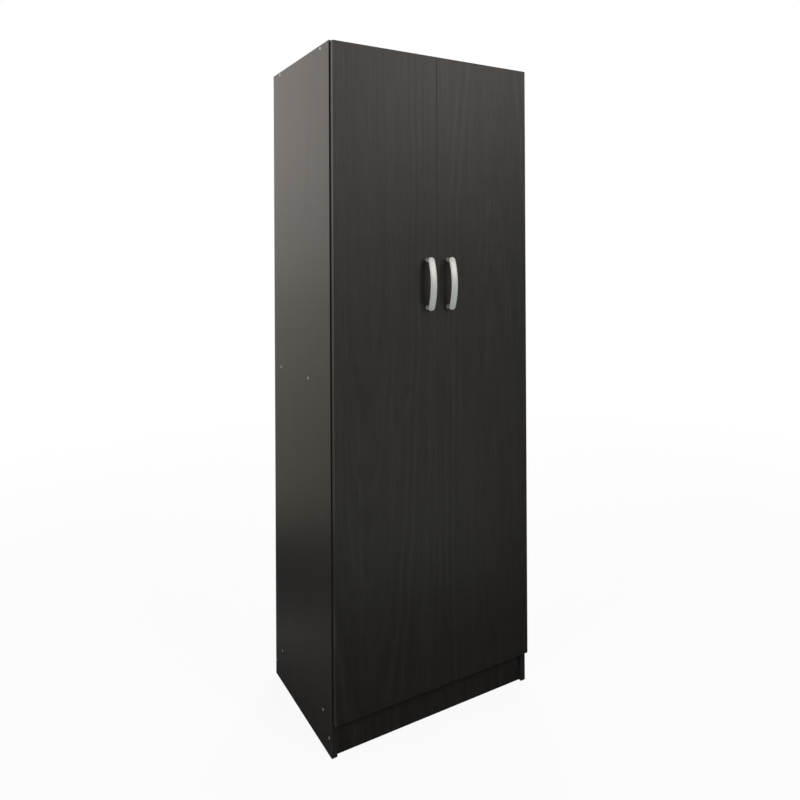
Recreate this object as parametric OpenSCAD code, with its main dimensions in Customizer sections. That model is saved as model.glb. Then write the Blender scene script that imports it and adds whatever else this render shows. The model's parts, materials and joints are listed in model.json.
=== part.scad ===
// Two-door wardrobe: a board carcass that stands on its side panels and two kickboards, a fixed
// middle shelf, a nailed hardboard back, an oval clothes rail, and two overlay doors that swing on
// concealed cup hinges and are pulled by bow handles.
// The front faces -Y. The origin is on the floor, in the middle of the outer box.
// Left-hand pieces are modelled, and right-hand ones are their mirror images.

/* [Overall] */
// Width over the two side panels
width = 600; // [500:10:900]
// Height from the floor to the top of the top panel
height = 1800; // [1500:10:2200]
// Depth of the side panels, from front edge to rear edge
side_depth = 450; // [380:10:600]

/* [Boards] */
// Thickness of the carcass boards
board_t = 15; // [13:0.5:18]
// Thickness of the doors
door_t = 15; // [14:0.5:22]
// Thickness of the hardboard back sheets
back_t = 3; // [2.5:0.5:6]
// Distance from the outer faces of the carcass to the edges of the back sheets
back_inset = 2; // [1:0.5:5]
// Thickness of the strip that covers the joint of the back sheets
strip_t = 1; // [0.8:0.1:2]
// Width of that strip
strip_w = 12; // [8:1:20]

/* [Plinth] */
// Height of the kickboards, which carry the bottom panel
plinth_h = 86; // [60:1:150]
// Distance from the front edge of the side panels back to the front kickboard
plinth_recess = 10; // [0:1:40]

/* [Shelf] */
// Height of the underside of the middle shelf
shelf_z = 923; // [700:1:1100]
// Distance from the front edge of the side panels back to the front edge of the shelf
shelf_set_back = 100; // [75:5:150]

/* [Doors] */
// Strip of side panel edge left bare beside each door
door_side_reveal = 3; // [1:0.5:4]
// Strip of top panel edge left bare above the doors
door_top_reveal = 3.5; // [1:0.5:5]
// Strip of bottom panel edge left bare below the doors
door_bottom_reveal = 3; // [1:0.5:5]
// Gap between the two doors
door_mid_gap = 1; // [0.5:0.5:4]
// Gap between the doors and the front edges of the carcass
door_gap = 3; // [2.5:0.5:4]
// Diameter of the soft bumpers that the closed doors meet
bumper_d = 8; // [6:0.5:8]
// Air left between a bumper and a closed door
bumper_air = 0.3; // [0.2:0.1:0.5]
// Distance from the bumpers to the middle of the wardrobe
bumper_x = 30; // [20:1:60]

/* [Handles] */
// Distance between the two posts of a handle
handle_spacing = 128; // [96:1:192]
// Length of the bow over its round ends
handle_len = 144; // [120:1:230]
// Width of the bow
handle_w = 19; // [14:0.5:24]
// Thickness of the bow
handle_t = 5; // [4:0.5:7]
// Bevel along the four long edges of the bow
handle_bevel = 1.2; // [0.4:0.1:1.8]
// Distance from the door to the middle of the bow's thickness at its ends
handle_end_out = 20; // [17:0.5:32]
// How far the middle of the bow stands out past its ends
handle_rise = 16.5; // [8:0.5:20]
// Diameter of the posts
handle_post_d = 12; // [9:0.5:14]
// Height of the middle of the handles above the floor
handle_z = 1182; // [900:1:1300]
// Distance from the free edge of a door to its handle posts
handle_edge = 31.5; // [20:0.5:60]
// Diameter of the handle screws
handle_screw_d = 4; // [3:0.5:5]
// Depth of the handle screws in the posts
handle_screw_grip = 9; // [6:0.5:12]

/* [Hinges] */
// Number of hinges on each door
hinge_count = 3; // [2:1:4]
// Distance from the ends of a door to its first and last hinge
hinge_end = 100; // [70:5:150]
// Diameter of the cup bore in the door
cup_d = 35; // [35:0.5:38]
// Depth of the cup in the door
cup_depth = 12; // [11.8:0.1:12.4]
// Wood left between the cup bore and the edge of the door
cup_edge = 3; // [3:0.1:3.6]
// Thickness of the wall of the cup
cup_wall = 0.9; // [0.6:0.1:1]
// Thickness of the floor of the cup
cup_floor = 0.6; // [0.4:0.1:0.7]
// Thickness of the flange of the cup
flange_t = 1; // [0.8:0.1:1.2]
// Width of the rim of the flange round the cup bore
flange_rim = 1; // [0.5:0.1:1.2]
// Width of the bar of the flange that takes the screws
flange_bar_w = 13; // [10:0.5:16]
// Distance from the screws to the ends of that bar
flange_bar_end = 5.5; // [4.5:0.5:8]
// Distance between the two screws of the cup
cup_screw_pitch = 48; // [45:1:52]
// Distance from the middle of the cup to its screws, away from the edge of the door
cup_screw_offset = 6; // [5:0.5:9.5]
// Distance from the edge of the door in to the pivot
pivot_inset = 7; // [6.8:0.1:7.1]
// Distance from the inner face of the door to the pivot
pivot_depth = 9; // [8.8:0.1:9.2]
// Diameter of the hinge pin
pin_d = 2.2; // [1.8:0.1:2.4]
// Diameter of the knuckle round the pin
knuckle_d = 4.2; // [3.8:0.1:4.4]
// Length of the knuckle
knuckle_l = 8; // [6:0.5:8]
// Thickness of the two cheeks that hold the pin
cheek_t = 1.2; // [1:0.1:1.4]
// Thickness of the hinge arm
arm_t = 2; // [1.6:0.1:2.2]
// Width of the hinge arm behind the door
arm_w = 14; // [12:0.5:18]
// Length of the hinge arm behind the front edge of the side panel
arm_l = 58; // [54:1:65]
// Length of the narrow neck of the arm behind the front edge of the side panel
arm_neck = 4; // [3:0.5:8]
// Thickness of the folded sides of the arm
lip_t = 1.2; // [0.8:0.1:1.5]
// Thickness of the base of the mounting plate
plate_t = 2; // [1.5:0.1:2.5]
// Width of the wings of the mounting plate
wing_w = 13; // [9:0.5:16]
// Distance from the screws to the ends of the wings
wing_end = 7; // [5:0.5:10]
// Distance from the screws to the front end of the mounting plate
plate_nose = 15; // [10:0.5:18]
// Distance from the rear end of the arm to its clamping screw
clamp_inset = 8; // [6:0.5:10]
// Diameter of the clamping screw
clamp_d = 4; // [3:0.5:4.5]
// Distance from the front edge of the side panel to the screws of the mounting plate
plate_screw_y = 37; // [34:0.5:40]
// Distance between the two screws of the mounting plate
plate_screw_pitch = 32; // [30:0.5:36]

/* [Clothes rail] */
// Height of the oval of the rail
rail_h = 30; // [25:0.5:35]
// Width of the oval of the rail
rail_w = 15; // [12:0.5:20]
// Thickness of the wall of the rail
rail_wall = 1.2; // [0.8:0.1:2]
// Distance from the underside of the top panel to the middle of the rail
rail_drop = 60; // [50:1:100]
// Thickness of the base of a rail socket
socket_base = 3; // [2:0.5:5]
// Thickness of the collar of a rail socket
socket_wall = 2; // [1.5:0.1:3]
// Length of the collar of a rail socket
socket_collar = 12; // [8:0.5:20]
// Distance from the middle of the rail to each socket screw
socket_screw_z = 23; // [22:0.5:26]

/* [Fasteners] */
// Diameter of the shank of the carcass screws
screw_d = 5; // [4:0.5:6]
// Diameter of the head of the carcass screws
screw_head_d = 8; // [7:0.5:10]
// Height of the head of the carcass screws
screw_head_h = 3; // [2:0.5:4]
// Length of the carcass screws
screw_len = 50; // [40:1:60]
// Distance from the ends of a panel's edge to its two carcass screws
screw_inset = 60; // [40:5:90]
// Diameter of the shank of the small screws for the fittings
small_screw_d = 3.5; // [3:0.1:4]
// Diameter of the head of the small screws
small_head_d = 6.5; // [5:0.5:7]
// Height of the head of the small screws
small_head_h = 1.6; // [1:0.1:2]
// Depth that the small screws reach into the wood
small_screw_grip = 9; // [7:0.5:10]
// Diameter of the nails of the back
nail_d = 1.6; // [1.2:0.1:2]
// Diameter of the heads of the nails
nail_head_d = 5; // [3:0.5:6]
// Thickness of the heads of the nails
nail_head_t = 0.8; // [0.5:0.1:1]
// Length of the nails
nail_len = 20; // [16:1:25]
// Greatest distance between two nails
nail_pitch = 160; // [100:10:250]

/* [Clearances] */
// Air round a shank, a head or a cup in its hole, on each side
hole_air = 0.1; // [0.05:0.05:0.2]
// Air round the pin in the knuckle, on each side
pin_air = 0.05; // [0.03:0.01:0.08]
// Air between the knuckle and its cheeks, at each end
knuckle_air = 0.3; // [0.2:0.1:0.4]
// Air between the hinge arm and the flange of the cup when the door is square to the front
arm_air = 0.8; // [0.7:0.1:1.2]
// Air between the rail and its sockets, on each side
rail_air = 0.3; // [0.2:0.1:0.5]
// Air between the folded sides of a hinge arm and its mounting plate
fitting_air = 0.3; // [0.2:0.1:0.5]

/* [Hidden] */
round_fn = 48;
bow_fn = 96;
// Extra length that lets a cut run cleanly through a face
over = 1;

wood = [0.25, 0.23, 0.22];
hardboard = [0.45, 0.34, 0.24];
silver = [0.72, 0.72, 0.71];
steel = [0.78, 0.79, 0.8];
plastic = [0.16, 0.16, 0.17];
rubber = [0.86, 0.86, 0.84];

// Carcass
inner_w = width - 2 * board_t;
inner_x = width / 2 - board_t;
handle_out = handle_end_out + handle_rise + handle_t / 2;
front_reach = door_gap + door_t + handle_out;
rear_reach = side_depth + back_t + max(strip_t, nail_head_t);
front_y = (front_reach - rear_reach) / 2;
rear_y = front_y + side_depth;
top_z = height - board_t;
bottom_top_z = plinth_h + board_t;
shelf_y = front_y + shelf_set_back;
kick_front_y = front_y + plinth_recess;
kick_rear_y = rear_y - board_t;

// Doors
door_in_y = front_y - door_gap;
door_out_y = door_in_y - door_t;
door_x = -width / 2 + door_side_reveal;
door_w = width / 2 - door_side_reveal - door_mid_gap / 2;
door_z = plinth_h + door_bottom_reveal;
door_top_z = height - door_top_reveal;
handle_x = door_x + door_w - handle_edge;
bumper_t = door_gap - bumper_air;
bumper_zs = [(door_z + bottom_top_z) / 2, (top_z + door_top_z) / 2];

// Hinges, in a frame with its origin on the pivot, +X to the middle of the wardrobe, +Y to its back
pivot_x = door_x + pivot_inset;
pivot_y = door_in_y - pivot_depth;
hinge_step = (door_top_z - door_z - 2 * hinge_end) / (hinge_count - 1);
hinge_zs = [for (i = [0:hinge_count - 1]) door_z + hinge_end + i * hinge_step];
cup_x = cup_edge + cup_d / 2 - pivot_inset;
cup_out_d = cup_d - 2 * hole_air;
cup_in_d = cup_out_d - 2 * cup_wall;
cup_screw_x = cup_x + cup_screw_offset;
cheek_z = knuckle_l / 2 + knuckle_air;
cheek_in_wall = 0.5 * cup_wall;
cheek_reach = knuckle_d / 2 + 0.5;
web_x = pivot_depth + flange_t + arm_air;
panel_x = board_t - door_side_reveal - pivot_inset;
edge_y = pivot_depth + door_gap;
arm_body_y = edge_y + arm_neck;
plate_front_y = edge_y + plate_screw_y - plate_nose;
plate_rear_y = edge_y + arm_l - 2;
lip_x = panel_x + plate_t + fitting_air;
clamp_y = edge_y + arm_l - clamp_inset;

// Clothes rail
rail_z = top_z - rail_drop;
rail_y = (front_y + rear_y) / 2;
socket_margin = 5;

// Places of the carcass screws, as [y, z]
top_spots = [for (y = [front_y + screw_inset, rear_y - screw_inset]) [y, height - board_t / 2]];
shelf_spots = [for (y = [shelf_y + screw_inset, rear_y - screw_inset]) [y, shelf_z + board_t / 2]];
bottom_spots = [for (y = [front_y + screw_inset, rear_y - screw_inset]) [y, plinth_h + board_t / 2]];
kick_front_spots = [[kick_front_y + board_t / 2, plinth_h / 2]];
kick_rear_spots = [[kick_rear_y + board_t / 2, plinth_h / 2]];
all_spots = concat(top_spots, shelf_spots, bottom_spots, kick_front_spots, kick_rear_spots);

// Places of the nails, as [x, z]
back_low_z = plinth_h + back_inset;
back_top_z = height - back_inset;
back_joint_z = shelf_z + board_t / 2;
nail_x = width / 2 - board_t / 2;
nail_low_z = plinth_h + board_t / 2;
nail_top_z = height - board_t / 2;
nail_rows = ceil((nail_top_z - nail_low_z) / nail_pitch);
nail_cols = ceil(2 * nail_x / nail_pitch);
side_nail_spots = [for (i = [0:nail_rows], s = [-1, 1])
    let (z = nail_low_z + i * (nail_top_z - nail_low_z) / nail_rows)
    if (abs(z - back_joint_z) > strip_w) [s * nail_x, z]];
end_nail_spots = [for (i = [1:nail_cols - 1], z = [nail_low_z, nail_top_z])
    [-nail_x + i * 2 * nail_x / nail_cols, z]];
nail_spots = concat(side_nail_spots, end_nail_spots);

SIDES = ["left", "right"];
HINGE_PIECES = ["hinge_arm", "hinge_plate", "hinge_cup", "hinge_pin"];

// Draws the left-hand child, or its mirror image for the right-hand side
module on_side(side) {
    if (side == "left") children();
    else mirror([1, 0, 0]) children();
}

// Cylinder along +X from the origin
module rod_x(d, l) {
    rotate([0, 90, 0]) cylinder(d = d, h = l, $fn = round_fn);
}

// Cylinder along +Y from the origin
module rod_y(d, l) {
    rotate([-90, 0, 0]) cylinder(d = d, h = l, $fn = round_fn);
}

// Flat oval with straight sides, w wide along X and h high along Y
module oval(w, h) {
    square([w, h - w], center = true);
    for (s = [-1, 1]) translate([0, s * (h - w) / 2]) circle(d = w, $fn = round_fn);
}

// Oval bar along +X from the origin, w wide along Y and h high along Z
module oval_bar_x(w, h, l) {
    rotate([90, 0, 90]) linear_extrude(l) oval(w, h);
}

// Oval plate of thickness t along +Y from the origin, w wide along X and h high along Z
module oval_plate_y(w, h, t) {
    translate([0, t, 0]) rotate([90, 0, 0]) linear_extrude(t) oval(w, h);
}

// One carcass screw, its head flush with the plane of the origin and its shank along +X
module carcass_screw() {
    rod_x(screw_head_d, screw_head_h);
    rod_x(screw_d, screw_len);
}

// Stepped holes for the carcass screws through a left-hand side panel
module carcass_screw_holes() {
    for (p = all_spots) translate([-width / 2, p[0], p[1]]) {
        translate([-over, 0, 0]) rod_x(screw_head_d + 2 * hole_air, screw_head_h + over);
        rod_x(screw_d + 2 * hole_air, board_t + over);
    }
}

// Bores for the tips of the carcass screws in both ends of a panel between the sides
module end_bores(spots) {
    for (side = SIDES, p = spots) on_side(side)
        translate([-inner_x - over, p[0], p[1]])
            rod_x(screw_d + 2 * hole_air, screw_len - board_t + 2 * over);
}

// Bores for the nails in the rear edges of the boards
module nail_bores() {
    for (p = nail_spots) translate([p[0], rear_y + back_t - nail_len - over, p[1]])
        rod_y(nail_d + 2 * hole_air, nail_len + 2 * over);
}

// Pilot holes in the left-hand side panel for the small screws of hinges and rail socket
module fitting_holes() {
    for (z = hinge_zs, s = [-1, 1])
        translate([-inner_x - small_screw_grip - over, front_y + plate_screw_y, z + s * plate_screw_pitch / 2])
            rod_x(small_screw_d + 2 * hole_air, small_screw_grip + 2 * over);
    for (s = [-1, 1])
        translate([-inner_x - small_screw_grip - over, rail_y, rail_z + s * socket_screw_z])
            rod_x(small_screw_d + 2 * hole_air, small_screw_grip + 2 * over);
}

module side_panel() {
    color(wood) difference() {
        translate([-width / 2, front_y, 0]) cube([board_t, side_depth, height]);
        carcass_screw_holes();
        fitting_holes();
        nail_bores();
    }
}

// Board between the side panels, from y to y + depth and up from z
module cross_board(y, depth, z, thick, spots) {
    color(wood) difference() {
        translate([-inner_x, y, z]) cube([inner_w, depth, thick]);
        end_bores(spots);
        nail_bores();
    }
}

// Back sheet between two heights
module back_sheet(z_low, z_high) {
    color(hardboard) difference() {
        translate([-width / 2 + back_inset, rear_y, z_low])
            cube([width - 2 * back_inset, back_t, z_high - z_low]);
        nail_bores();
    }
}

// T-shaped strip that covers the joint between the two back sheets
module back_joint_strip() {
    color(plastic) translate([-width / 2 + back_inset, rear_y, back_joint_z]) {
        translate([0, 0, -strip_t / 2]) cube([width - 2 * back_inset, back_t + strip_t, strip_t]);
        translate([0, back_t, -strip_w / 2]) cube([width - 2 * back_inset, strip_t, strip_w]);
    }
}

module back_nails() {
    color(steel) for (p = nail_spots) translate([p[0], rear_y + back_t - nail_len, p[1]]) {
        rod_y(nail_d, nail_len + nail_head_t);
        translate([0, nail_len, 0]) rod_y(nail_head_d, nail_head_t);
    }
}

module carcass_screws() {
    color(steel) for (p = all_spots) translate([-width / 2, p[0], p[1]]) carcass_screw();
}

// Oval tube between the two sockets
module clothes_rail() {
    l = inner_w - 2 * (socket_base + rail_air);
    color(steel) translate([-l / 2, rail_y, rail_z]) difference() {
        oval_bar_x(rail_w, rail_h, l);
        translate([-over, 0, 0])
            oval_bar_x(rail_w - 2 * rail_wall, rail_h - 2 * rail_wall, l + 2 * over);
    }
}

// Base against the side panel, with a collar round the end of the rail
module rail_socket() {
    bore_w = rail_w + 2 * rail_air;
    bore_h = rail_h + 2 * rail_air;
    collar_w = bore_w + 2 * socket_wall;
    color(plastic) translate([-inner_x, rail_y, rail_z]) difference() {
        union() {
            oval_bar_x(collar_w + socket_margin, 2 * socket_screw_z + small_head_d + socket_margin, socket_base);
            oval_bar_x(collar_w, bore_h + 2 * socket_wall, socket_base + socket_collar);
        }
        translate([socket_base, 0, 0]) oval_bar_x(bore_w, bore_h, socket_collar + over);
        for (s = [-1, 1]) translate([-over, 0, s * socket_screw_z])
            rod_x(small_screw_d + 2 * hole_air, socket_base + 2 * over);
    }
}

// Small screw with its head on the plane of the origin, reaching l along -X
module small_screw_x(l) {
    rod_x(small_head_d, small_head_h);
    translate([-l, 0, 0]) rod_x(small_screw_d, l + small_head_h / 2);
}

module rail_socket_screws() {
    color(steel) for (side = SIDES, s = [-1, 1]) on_side(side)
        translate([-inner_x + socket_base, rail_y, rail_z + s * socket_screw_z])
            small_screw_x(socket_base + small_screw_grip);
}

// Soft pads on the front edges of the top and bottom panels
module door_bumpers() {
    color(rubber) for (z = bumper_zs, s = [-1, 1])
        translate([s * bumper_x, front_y - bumper_t, z]) rod_y(bumper_d, bumper_t);
}

// Left-hand door with its cup bores, handle holes and pilot holes
module door() {
    color(wood) difference() {
        translate([door_x, door_out_y, door_z]) cube([door_w, door_t, door_top_z - door_z]);
        for (z = hinge_zs) translate([pivot_x, pivot_y, z]) {
            translate([cup_x, pivot_depth - cup_depth - hole_air, 0]) rod_y(cup_d, cup_depth + over);
            for (s = [-1, 1])
                translate([cup_screw_x, pivot_depth - small_screw_grip - over, s * cup_screw_pitch / 2])
                    rod_y(small_screw_d + 2 * hole_air, small_screw_grip + 2 * over);
        }
        for (s = [-1, 1]) translate([handle_x, door_out_y - over, handle_z + s * handle_spacing / 2])
            rod_y(handle_screw_d + 2 * hole_air, door_t + 2 * over);
    }
}

// Cross-section of the bow, along its radius by across it
module bow_section() {
    a = handle_t / 2;
    b = handle_w / 2;
    c = handle_bevel;
    polygon([[-a, c - b], [c - a, -b], [a - c, -b], [a, c - b], [a, b - c], [a - c, b], [c - a, b], [-a, b - c]]);
}

// Bow handle on two posts, in place on the left-hand door
module handle() {
    half = handle_len / 2;
    bow_r = (half * half + handle_rise * handle_rise) / (2 * handle_rise);
    bow_c = handle_end_out + handle_rise - bow_r;
    post_h = bow_c + sqrt(bow_r * bow_r - handle_spacing * handle_spacing / 4);
    sweep = 2 * asin((half + handle_t) / bow_r);
    color(silver) translate([handle_x, door_out_y, handle_z]) difference() {
        union() {
            intersection() {
                translate([0, -bow_c, 0]) rotate([-90, 0, 0]) rotate([0, 90, 0]) rotate([0, 0, -sweep / 2])
                    rotate_extrude(angle = sweep, $fn = bow_fn) translate([bow_r, 0]) bow_section();
                translate([0, -handle_out - over, 0]) oval_plate_y(handle_w, handle_len, handle_out);
            }
            for (s = [-1, 1]) translate([0, -post_h, s * handle_spacing / 2]) rod_y(handle_post_d, post_h);
        }
        for (s = [-1, 1]) translate([0, -handle_screw_grip - over, s * handle_spacing / 2])
            rod_y(handle_screw_d + 2 * hole_air, handle_screw_grip + 2 * over);
    }
}

// Machine screws through the door into the posts, with their heads on the inner face
module handle_screws() {
    head_d = 2 * handle_screw_d;
    head_h = 0.6 * handle_screw_d;
    color(steel) for (s = [-1, 1])
        translate([handle_x, door_out_y - handle_screw_grip, handle_z + s * handle_spacing / 2]) {
            rod_y(handle_screw_d, handle_screw_grip + door_t + head_h / 2);
            translate([0, handle_screw_grip + door_t, 0]) rod_y(head_d, head_h);
        }
}

// Puts a piece of hinge number i, drawn in the hinge's own frame, in its place
module at_hinge(i) {
    translate([pivot_x, pivot_y, hinge_zs[i - 1]]) children();
}

// Cranked arm: it turns on the pin with its knuckle, leaves the cup and lies on the mounting plate
module hinge_arm() {
    color(steel) difference() {
        union() {
            cylinder(d = knuckle_d, h = knuckle_l, center = true, $fn = round_fn);
            translate([0, -arm_t / 2, -knuckle_l / 2]) cube([web_x + arm_t, arm_t, knuckle_l]);
            translate([web_x, -arm_t / 2, -knuckle_l / 2]) cube([arm_t, arm_body_y + arm_t, knuckle_l]);
            translate([web_x, arm_body_y, -arm_w / 2]) cube([arm_t, edge_y + arm_l - arm_body_y, arm_w]);
            for (s = [-1, 1]) translate([lip_x, arm_body_y, s * (arm_w - lip_t) / 2 - lip_t / 2])
                cube([web_x + arm_t - lip_x, edge_y + arm_l - arm_body_y, lip_t]);
        }
        cylinder(d = pin_d + 2 * pin_air, h = knuckle_l + 2 * over, center = true, $fn = round_fn);
        translate([web_x - over, clamp_y, 0]) rod_x(clamp_d + 2 * hole_air, arm_t + 2 * over);
    }
}

// Mounting plate: a base with two wings for its screws, and a boss that carries the arm
module hinge_plate() {
    boss_w = arm_w - 2 * (lip_t + fitting_air);
    wing_y = edge_y + plate_screw_y;
    wing_l = plate_screw_pitch + 2 * wing_end;
    color(steel) difference() {
        union() {
            translate([panel_x, plate_front_y, -arm_w / 2]) cube([plate_t, plate_rear_y - plate_front_y, arm_w]);
            translate([panel_x, wing_y - wing_w / 2, -wing_l / 2]) cube([plate_t, wing_w, wing_l]);
            translate([panel_x, plate_front_y, -boss_w / 2])
                cube([web_x - panel_x, plate_rear_y - plate_front_y, boss_w]);
        }
        for (s = [-1, 1]) translate([panel_x - over, wing_y, s * plate_screw_pitch / 2])
            rod_x(small_screw_d + 2 * hole_air, plate_t + 2 * over);
        translate([panel_x + plate_t, clamp_y, 0])
            rod_x(clamp_d + 2 * hole_air, web_x - panel_x);
    }
}

// Screws of one hinge's mounting plate, and the screw that clamps the arm on the boss
module hinge_plate_screws() {
    for (s = [-1, 1]) translate([panel_x + plate_t, edge_y + plate_screw_y, s * plate_screw_pitch / 2])
        small_screw_x(plate_t + small_screw_grip);
    clamp_l = arm_t + web_x - panel_x - plate_t - hole_air;
    translate([web_x + arm_t, clamp_y, 0]) {
        rod_x(small_head_d, small_head_h);
        translate([-clamp_l, 0, 0]) rod_x(clamp_d, clamp_l + small_head_h / 2);
    }
}

// Dish let into the door, with a flange on its face and two cheeks that hold the pin
module hinge_cup() {
    floor_y = pivot_depth - cup_depth;
    cheek_x = cup_x - sqrt(pow(cup_in_d / 2, 2) - pow(cheek_z + cheek_t, 2)) - cheek_in_wall;
    color(steel) difference() {
        union() {
            difference() {
                union() {
                    translate([cup_x, floor_y, 0]) rod_y(cup_out_d, cup_depth);
                    translate([cup_x, pivot_depth, 0]) rod_y(cup_d + 2 * flange_rim, flange_t);
                    translate([cup_screw_x, pivot_depth, 0])
                        oval_plate_y(flange_bar_w, cup_screw_pitch + 2 * flange_bar_end, flange_t);
                }
                translate([cup_x, floor_y + cup_floor, 0]) rod_y(cup_in_d, cup_depth + over);
            }
            for (s = [-1, 1]) translate([cheek_x, floor_y, s * (cheek_z + cheek_t / 2) - cheek_t / 2])
                cube([cheek_reach - cheek_x, cheek_reach - floor_y, cheek_t]);
        }
        cylinder(d = pin_d + 2 * pin_air, h = 2 * (cheek_z + cheek_t + over), center = true, $fn = round_fn);
        for (s = [-1, 1]) translate([cup_screw_x, pivot_depth - over, s * cup_screw_pitch / 2])
            rod_y(small_screw_d + 2 * hole_air, flange_t + 2 * over);
    }
}

module hinge_pin() {
    color(steel) cylinder(d = pin_d, h = 2 * (cheek_z + cheek_t), center = true, $fn = round_fn);
}

// Screws of one hinge's cup
module hinge_cup_screws() {
    for (s = [-1, 1]) translate([cup_screw_x, pivot_depth, s * cup_screw_pitch / 2]) {
        translate([0, flange_t, 0]) rod_y(small_head_d, small_head_h);
        translate([0, -small_screw_grip, 0])
            rod_y(small_screw_d, small_screw_grip + flange_t + small_head_h / 2);
    }
}

// Every copy of one kind of screw on one door
module at_all_hinges() {
    for (i = [1:hinge_count]) at_hinge(i) children();
}

on_side("left") side_panel();  // left_side_panel
on_side("right") side_panel();  // right_side_panel
cross_board(front_y, side_depth, top_z, board_t, top_spots);  // top_panel
cross_board(front_y, side_depth, plinth_h, board_t, bottom_spots);  // bottom_panel
cross_board(shelf_y, side_depth - shelf_set_back, shelf_z, board_t, shelf_spots);  // middle_shelf
cross_board(kick_front_y, board_t, 0, plinth_h, kick_front_spots);  // front_kickboard
cross_board(kick_rear_y, board_t, 0, plinth_h, kick_rear_spots);  // rear_kickboard
back_sheet(back_joint_z + strip_t / 2, back_top_z);  // upper_back
back_sheet(back_low_z, back_joint_z - strip_t / 2);  // lower_back
back_joint_strip();
back_nails();
clothes_rail();
rail_socket_screws();
door_bumpers();
for (side = SIDES) {
    on_side(side) carcass_screws();
    on_side(side) rail_socket();
    on_side(side) door();
    on_side(side) handle();
    on_side(side) handle_screws();
    on_side(side) color(steel) at_all_hinges() hinge_plate_screws();
    on_side(side) color(steel) at_all_hinges() hinge_cup_screws();
    for (i = [1:hinge_count]) {
        on_side(side) at_hinge(i) hinge_arm();
        on_side(side) at_hinge(i) hinge_plate();
        on_side(side) at_hinge(i) hinge_cup();
        on_side(side) at_hinge(i) hinge_pin();
    }
}
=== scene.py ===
# %% [markdown]
# # A two-door wardrobe in dark wenge melamine
#
# A wardrobe of this kind is a kit of flat boards. Chipboard is pressed between two sheets of printed
# paper soaked in melamine resin, cut to size, and edged with a thin band of the same print. Metal
# fittings hold it together: screws with silver heads, concealed hinges, and cast handles.
#
# The boards, hinges and screws are already there with their real sizes, as the frame that is loaded
# first. What is left to make is what the eye sees: eased edges, rounded handles, cross recesses in
# the screws, and a finish for each surface.

# %% Load the frame
import json
import math

import bmesh
import bpy
from mathutils import Euler, Matrix, Vector


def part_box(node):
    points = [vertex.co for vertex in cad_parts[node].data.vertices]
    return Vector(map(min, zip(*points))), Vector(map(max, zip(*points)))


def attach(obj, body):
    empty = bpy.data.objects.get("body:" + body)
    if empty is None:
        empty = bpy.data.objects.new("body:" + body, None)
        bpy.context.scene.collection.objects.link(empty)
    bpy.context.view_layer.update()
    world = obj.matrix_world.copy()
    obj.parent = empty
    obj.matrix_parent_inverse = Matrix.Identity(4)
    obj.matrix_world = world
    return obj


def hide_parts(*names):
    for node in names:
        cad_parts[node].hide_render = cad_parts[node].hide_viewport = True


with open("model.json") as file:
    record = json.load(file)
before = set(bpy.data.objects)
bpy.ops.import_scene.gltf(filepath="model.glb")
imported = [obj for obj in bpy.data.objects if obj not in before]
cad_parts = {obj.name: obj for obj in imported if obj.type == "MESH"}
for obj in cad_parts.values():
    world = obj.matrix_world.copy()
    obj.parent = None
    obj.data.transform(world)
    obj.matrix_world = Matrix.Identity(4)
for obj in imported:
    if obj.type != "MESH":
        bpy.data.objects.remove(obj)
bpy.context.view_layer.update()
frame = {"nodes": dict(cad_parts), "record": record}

body_of = {node: body for body, nodes in frame["record"]["behaviour"]["bodies"].items() for node in nodes}

# %% [markdown]
# ## The camera
#
# The photograph was taken from the front left, at about 1.26 m above the floor, with the camera held
# level. Its verticals don't lean, so the lens was shifted instead of the camera being tilted. The
# place, direction and lens were worked out from the corners of the boards, with the least shift that
# still meets them within about a pixel. A camera in Blender looks along its own -Z, so a quarter turn
# about X makes it level.

# %% Camera
MM = 0.001

camera = bpy.data.objects.new("camera", bpy.data.cameras.new("camera"))
bpy.context.scene.collection.objects.link(camera)
camera.location = (-0.96690, -1.91929, 1.26383)
yaw, pitch, roll = 0.58918, 0.00144, -0.00497
level = Euler((math.pi / 2 + pitch, 0, -yaw)).to_matrix()
camera.rotation_euler = (level @ Matrix.Rotation(roll, 3, "Z")).to_euler()
camera.data.sensor_width = 36
camera.data.lens = 32.389
camera.data.shift_x = -0.1125
camera.data.shift_y = -0.185
bpy.context.scene.camera = camera
print("camera at", tuple(round(v, 3) for v in camera.location), "lens", camera.data.lens)

# %% [markdown]
# ## Colours and nodes
#
# A colour picked on a screen is an sRGB value, but shaders calculate with linear light, so each hex
# value is turned to linear first. A finish is a small tree of nodes. Adding a node, setting it and
# linking it is always the same three steps, so one helper does them.

# %% Helpers for the finishes
def linear(hex_colour):
    """The linear colour, with alpha, of an sRGB hex value."""
    parts = [int(hex_colour[i:i + 2], 16) / 255 for i in (1, 3, 5)]
    return [c / 12.92 if c <= 0.04045 else ((c + 0.055) / 1.055) ** 2.4 for c in parts] + [1.0]


def add(tree, kind, settings=None, inputs=None):
    """Adds a node. settings are its own properties, and inputs a value or a socket to link for each
    of its sockets. The stops of a colour ramp are pairs of place and hex colour."""
    node = tree.nodes.new("ShaderNode" + kind)
    for name, value in (settings or {}).items():
        if name == "stops":
            elements = node.color_ramp.elements
            while len(elements) < len(value):
                elements.new(0.5)
            for element, (place, hex_colour) in zip(elements, value):
                element.position, element.color = place, linear(hex_colour)
        else:
            setattr(node, name, value)
    for name, value in (inputs or {}).items():
        if isinstance(value, bpy.types.NodeSocket):
            tree.links.new(value, node.inputs[name])
        else:
            node.inputs[name].default_value = value
    return node


def finish(name):
    """A new material with an empty tree, and the tree."""
    material = bpy.data.materials.new(name)
    material.use_nodes = True
    material.node_tree.nodes.clear()
    return material, material.node_tree


def wear(piece, material):
    """Gives a piece one material all over."""
    piece.data.materials.clear()
    piece.data.materials.append(material)


print("wenge brown in linear light:", [round(c, 4) for c in linear("#262423")])

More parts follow.
